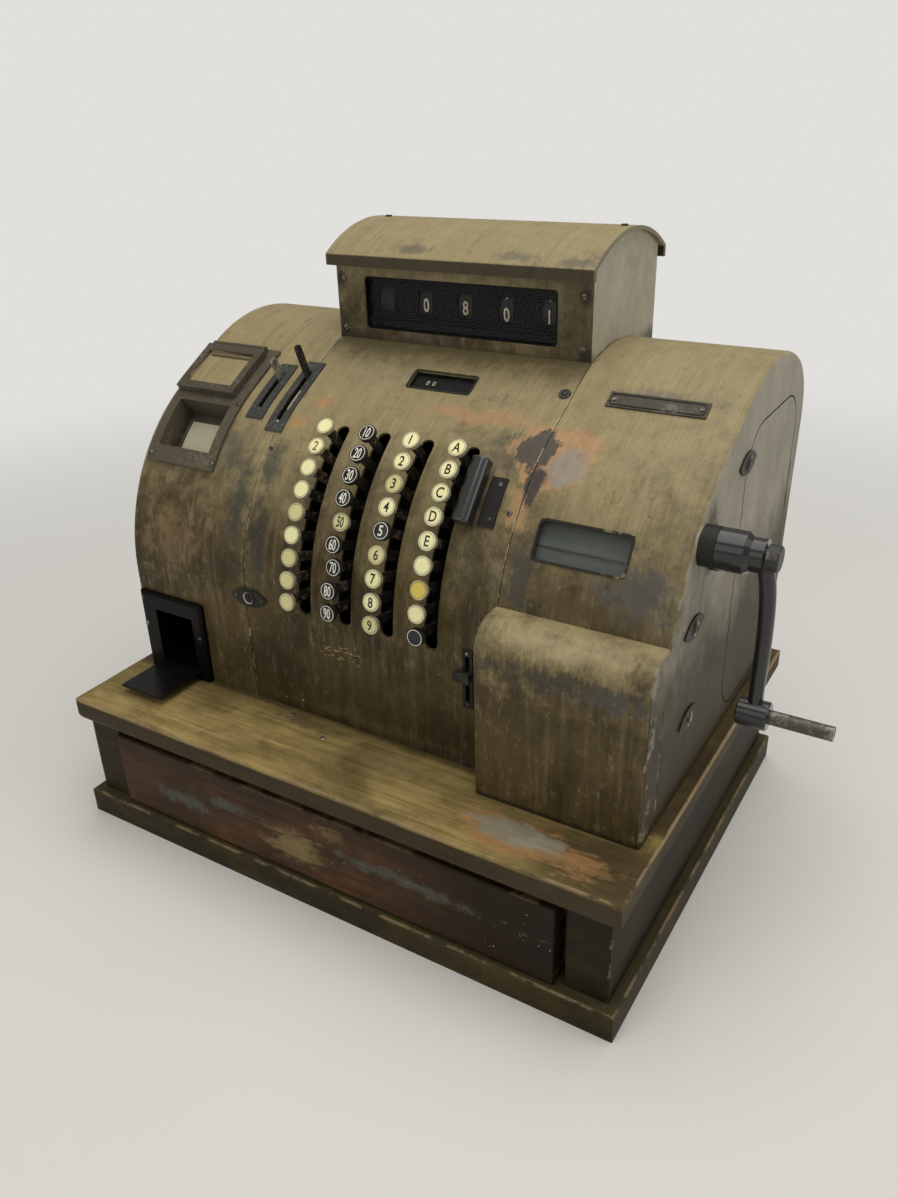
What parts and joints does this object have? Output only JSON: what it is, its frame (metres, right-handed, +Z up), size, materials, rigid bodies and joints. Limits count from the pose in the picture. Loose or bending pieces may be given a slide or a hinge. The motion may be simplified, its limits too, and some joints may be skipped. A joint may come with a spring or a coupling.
{
  "type": "cash register",
  "caption": "Old crank-driven cash register: curved steel covers with columns of keys, an indicator on the roof, and a cash drawer in a moulded timber base.",
  "frame": {"origin": "centre of the underside of the base, where it rests on the counter", "axes": "+Z up, +X to the right as seen from the front, the front faces -Y"},
  "size_m": [0.6798, 0.4387, 0.555],
  "materials": {
    "base_timber": "dark brown paint over timber, worn at the arrises",
    "board_timber": "olive brown stain, grain along the width, worn patches",
    "drawer_timber": "dark red-brown, rubbed and blotched",
    "inner_timber": "bare timber",
    "tray_plastic": "moulded coin tray",
    "grained_paint": "olive brown paint combed to look like wood grain, worn",
    "window_glass": "old flat glass",
    "wheel_paint": "black with white figures",
    "frame_paint": "grey-green paint, worn",
    "chute_paint": "black enamel",
    "plate_steel": "blackened and dull plated plates",
    "lever_steel": "dull steel",
    "bar_plastic": "black moulding",
    "crank_steel": "black enamel, bright worn pin",
    "frame_steel": "oiled steel",
    "ivory_key": "ivory disc in a metal ring",
    "black_key": "black disc in a metal ring"
  },
  "bodies": {
    "root": {"plinth": "base_timber", "drawer_case": "base_timber", "top_board": "board_timber", "left_cover": "grained_paint", "keyboard_cover": "grained_paint", "right_cover": "grained_paint", "printer_cover": "grained_paint", "indicator_housing": "grained_paint", "indicator_hood": "grained_paint", "glass_panes": "window_glass", "slip_frame": "frame_paint", "receipt_chute": "chute_paint", "trim_plates": "plate_steel", "key_frame": "frame_steel"},
    "drawer": {"drawer_front": "drawer_timber", "cash_drawer": "inner_timber", "coin_tray": "tray_plastic"},
    "lid": {"slip_lid": "frame_paint"},
    "short_lever": {"short_lever": "lever_steel"},
    "long_lever": {"long_lever": "lever_steel"},
    "release_bar": {"release_bar": "bar_plastic"},
    "latch": {"cover_latch": "lever_steel"},
    "crank": {"crank": "crank_steel"},
    "wheels": {"indicator_wheels": "wheel_paint"},
    "key_1_1": {"key_1_1": "ivory_key"},
    "key_1_2": {"key_1_2": "ivory_key"},
    "key_1_3": {"key_1_3": "ivory_key"},
    "key_1_4": {"key_1_4": "ivory_key"},
    "key_1_5": {"key_1_5": "ivory_key"},
    "key_1_6": {"key_1_6": "ivory_key"},
    "key_1_7": {"key_1_7": "ivory_key"},
    "key_1_8": {"key_1_8": "ivory_key"},
    "key_1_9": {"key_1_9": "ivory_key"},
    "key_2_1": {"key_2_1": "black_key"},
    "key_2_2": {"key_2_2": "black_key"},
    "key_2_3": {"key_2_3": "black_key"},
    "key_2_4": {"key_2_4": "black_key"},
    "key_2_5": {"key_2_5": "ivory_key"},
    "key_2_6": {"key_2_6": "black_key"},
    "key_2_7": {"key_2_7": "black_key"},
    "key_2_8": {"key_2_8": "black_key"},
    "key_2_9": {"key_2_9": "black_key"},
    "key_3_1": {"key_3_1": "ivory_key"},
    "key_3_2": {"key_3_2": "ivory_key"},
    "key_3_3": {"key_3_3": "ivory_key"},
    "key_3_4": {"key_3_4": "ivory_key"},
    "key_3_5": {"key_3_5": "black_key"},
    "key_3_6": {"key_3_6": "ivory_key"},
    "key_3_7": {"key_3_7": "ivory_key"},
    "key_3_8": {"key_3_8": "ivory_key"},
    "key_3_9": {"key_3_9": "ivory_key"},
    "key_4_1": {"key_4_1": "ivory_key"},
    "key_4_2": {"key_4_2": "ivory_key"},
    "key_4_3": {"key_4_3": "ivory_key"},
    "key_4_4": {"key_4_4": "ivory_key"},
    "key_4_5": {"key_4_5": "ivory_key"},
    "key_4_6": {"key_4_6": "ivory_key"},
    "key_4_7": {"key_4_7": "ivory_key"},
    "key_4_8": {"key_4_8": "ivory_key"},
    "key_4_9": {"key_4_9": "black_key"}
  },
  "joints": [
    {"name": "drawer_slide", "type": "slide", "parent": "root", "child": "drawer", "axis": [0, -1, 0], "range_m": [0, 0.28]},
    {"name": "crank_turn", "type": "hinge", "parent": "root", "child": "crank", "pos_m": [0.29, -0.0602, 0.359], "axis": [1, 0, 0], "continuous": true},
    {"name": "lid_hinge", "type": "hinge", "parent": "root", "child": "lid", "pos_m": [-0.2315, 0.01861, 0.44036], "axis": [1, 0, 0], "range_deg": [-85, 0]},
    {"name": "short_lever_turn", "type": "hinge", "parent": "root", "child": "short_lever", "pos_m": [-0.163, 0.0755, 0.24], "axis": [1, 0, 0], "range_deg": [0, 10]},
    {"name": "long_lever_turn", "type": "hinge", "parent": "root", "child": "long_lever", "pos_m": [-0.134, 0.0755, 0.24], "axis": [1, 0, 0], "range_deg": [0, 15]},
    {"name": "release_bar_press", "type": "slide", "parent": "root", "child": "release_bar", "axis": [0, 0.7518, -0.6593], "range_m": [0, 0.004], "stiffness_N_per_m": 400},
    {"name": "latch_slide", "type": "slide", "parent": "root", "child": "latch", "axis": [0, 0, -1], "range_m": [-0.012, 0.018]},
    {"name": "wheels_turn", "type": "hinge", "parent": "root", "child": "wheels", "pos_m": [0, 0.099, 0.4865], "axis": [1, 0, 0], "continuous": true},
    {"name": "press_1_1", "type": "slide", "parent": "root", "child": "key_1_1", "axis": [0, 0.6587, -0.7524], "range_m": [0, 0.006], "stiffness_N_per_m": 150},
    {"name": "press_1_2", "type": "slide", "parent": "root", "child": "key_1_2", "axis": [0, 0.7244, -0.6894], "range_m": [0, 0.006], "stiffness_N_per_m": 150},
    {"name": "press_1_3", "type": "slide", "parent": "root", "child": "key_1_3", "axis": [0, 0.7841, -0.6206], "range_m": [0, 0.006], "stiffness_N_per_m": 150},
    {"name": "press_1_4", "type": "slide", "parent": "root", "child": "key_1_4", "axis": [0, 0.8373, -0.5467], "range_m": [0, 0.006], "stiffness_N_per_m": 150},
    {"name": "press_1_5", "type": "slide", "parent": "root", "child": "key_1_5", "axis": [0, 0.8836, -0.4682], "range_m": [0, 0.006], "stiffness_N_per_m": 150},
    {"name": "press_1_6", "type": "slide", "parent": "root", "child": "key_1_6", "axis": [0, 0.9225, -0.3859], "range_m": [0, 0.006], "stiffness_N_per_m": 150},
    {"name": "press_1_7", "type": "slide", "parent": "root", "child": "key_1_7", "axis": [0, 0.9538, -0.3004], "range_m": [0, 0.006], "stiffness_N_per_m": 150},
    {"name": "press_1_8", "type": "slide", "parent": "root", "child": "key_1_8", "axis": [0, 0.9772, -0.2123], "range_m": [0, 0.006], "stiffness_N_per_m": 150},
    {"name": "press_1_9", "type": "slide", "parent": "root", "child": "key_1_9", "axis": [0, 0.9925, -0.1226], "range_m": [0, 0.006], "stiffness_N_per_m": 150},
    {"name": "press_2_1", "type": "slide", "parent": "root", "child": "key_2_1", "axis": [0, 0.6587, -0.7524], "range_m": [0, 0.006], "stiffness_N_per_m": 150},
    {"name": "press_2_2", "type": "slide", "parent": "root", "child": "key_2_2", "axis": [0, 0.7244, -0.6894], "range_m": [0, 0.006], "stiffness_N_per_m": 150},
    {"name": "press_2_3", "type": "slide", "parent": "root", "child": "key_2_3", "axis": [0, 0.7841, -0.6206], "range_m": [0, 0.006], "stiffness_N_per_m": 150},
    {"name": "press_2_4", "type": "slide", "parent": "root", "child": "key_2_4", "axis": [0, 0.8373, -0.5467], "range_m": [0, 0.006], "stiffness_N_per_m": 150},
    {"name": "press_2_5", "type": "slide", "parent": "root", "child": "key_2_5", "axis": [0, 0.8836, -0.4682], "range_m": [-0.005, 0.001]},
    {"name": "press_2_6", "type": "slide", "parent": "root", "child": "key_2_6", "axis": [0, 0.9225, -0.3859], "range_m": [0, 0.006], "stiffness_N_per_m": 150},
    {"name": "press_2_7", "type": "slide", "parent": "root", "child": "key_2_7", "axis": [0, 0.9538, -0.3004], "range_m": [-0.005, 0.001]},
    {"name": "press_2_8", "type": "slide", "parent": "root", "child": "key_2_8", "axis": [0, 0.9772, -0.2123], "range_m": [0, 0.006], "stiffness_N_per_m": 150},
    {"name": "press_2_9", "type": "slide", "parent": "root", "child": "key_2_9", "axis": [0, 0.9925, -0.1226], "range_m": [0, 0.006], "stiffness_N_per_m": 150},
    {"name": "press_3_1", "type": "slide", "parent": "root", "child": "key_3_1", "axis": [0, 0.6587, -0.7524], "range_m": [0, 0.006], "stiffness_N_per_m": 150},
    {"name": "press_3_2", "type": "slide", "parent": "root", "child": "key_3_2", "axis": [0, 0.7244, -0.6894], "range_m": [0, 0.006], "stiffness_N_per_m": 150},
    {"name": "press_3_3", "type": "slide", "parent": "root", "child": "key_3_3", "axis": [0, 0.7841, -0.6206], "range_m": [0, 0.006], "stiffness_N_per_m": 150},
    {"name": "press_3_4", "type": "slide", "parent": "root", "child": "key_3_4", "axis": [0, 0.8373, -0.5467], "range_m": [0, 0.006], "stiffness_N_per_m": 150},
    {"name": "press_3_5", "type": "slide", "parent": "root", "child": "key_3_5", "axis": [0, 0.8836, -0.4682], "range_m": [0, 0.006], "stiffness_N_per_m": 150},
    {"name": "press_3_6", "type": "slide", "parent": "root", "child": "key_3_6", "axis": [0, 0.9225, -0.3859], "range_m": [0, 0.006], "stiffness_N_per_m": 150},
    {"name": "press_3_7", "type": "slide", "parent": "root", "child": "key_3_7", "axis": [0, 0.9538, -0.3004], "range_m": [0, 0.006], "stiffness_N_per_m": 150},
    {"name": "press_3_8", "type": "slide", "parent": "root", "child": "key_3_8", "axis": [0, 0.9772, -0.2123], "range_m": [0, 0.006], "stiffness_N_per_m": 150},
    {"name": "press_3_9", "type": "slide", "parent": "root", "child": "key_3_9", "axis": [0, 0.9925, -0.1226], "range_m": [0, 0.006], "stiffness_N_per_m": 150},
    {"name": "press_4_1", "type": "slide", "parent": "root", "child": "key_4_1", "axis": [0, 0.6587, -0.7524], "range_m": [0, 0.006], "stiffness_N_per_m": 150},
    {"name": "press_4_2", "type": "slide", "parent": "root", "child": "key_4_2", "axis": [0, 0.7244, -0.6894], "range_m": [0, 0.006], "stiffness_N_per_m": 150},
    {"name": "press_4_3", "type": "slide", "parent": "root", "child": "key_4_3", "axis": [0, 0.7841, -0.6206], "range_m": [0, 0.006], "stiffness_N_per_m": 150},
    {"name": "press_4_4", "type": "slide", "parent": "root", "child": "key_4_4", "axis": [0, 0.8373, -0.5467], "range_m": [0, 0.006], "stiffness_N_per_m": 150},
    {"name": "press_4_5", "type": "slide", "parent": "root", "child": "key_4_5", "axis": [0, 0.8836, -0.4682], "range_m": [0, 0.006], "stiffness_N_per_m": 150},
    {"name": "press_4_6", "type": "slide", "parent": "root", "child": "key_4_6", "axis": [0, 0.9225, -0.3859], "range_m": [0, 0.006], "stiffness_N_per_m": 150},
    {"name": "press_4_7", "type": "slide", "parent": "root", "child": "key_4_7", "axis": [0, 0.9538, -0.3004], "range_m": [0, 0.006], "stiffness_N_per_m": 150},
    {"name": "press_4_8", "type": "slide", "parent": "root", "child": "key_4_8", "axis": [0, 0.9772, -0.2123], "range_m": [0, 0.006], "stiffness_N_per_m": 150},
    {"name": "press_4_9", "type": "slide", "parent": "root", "child": "key_4_9", "axis": [0, 0.9925, -0.1226], "range_m": [0, 0.006], "stiffness_N_per_m": 150}
  ]
}
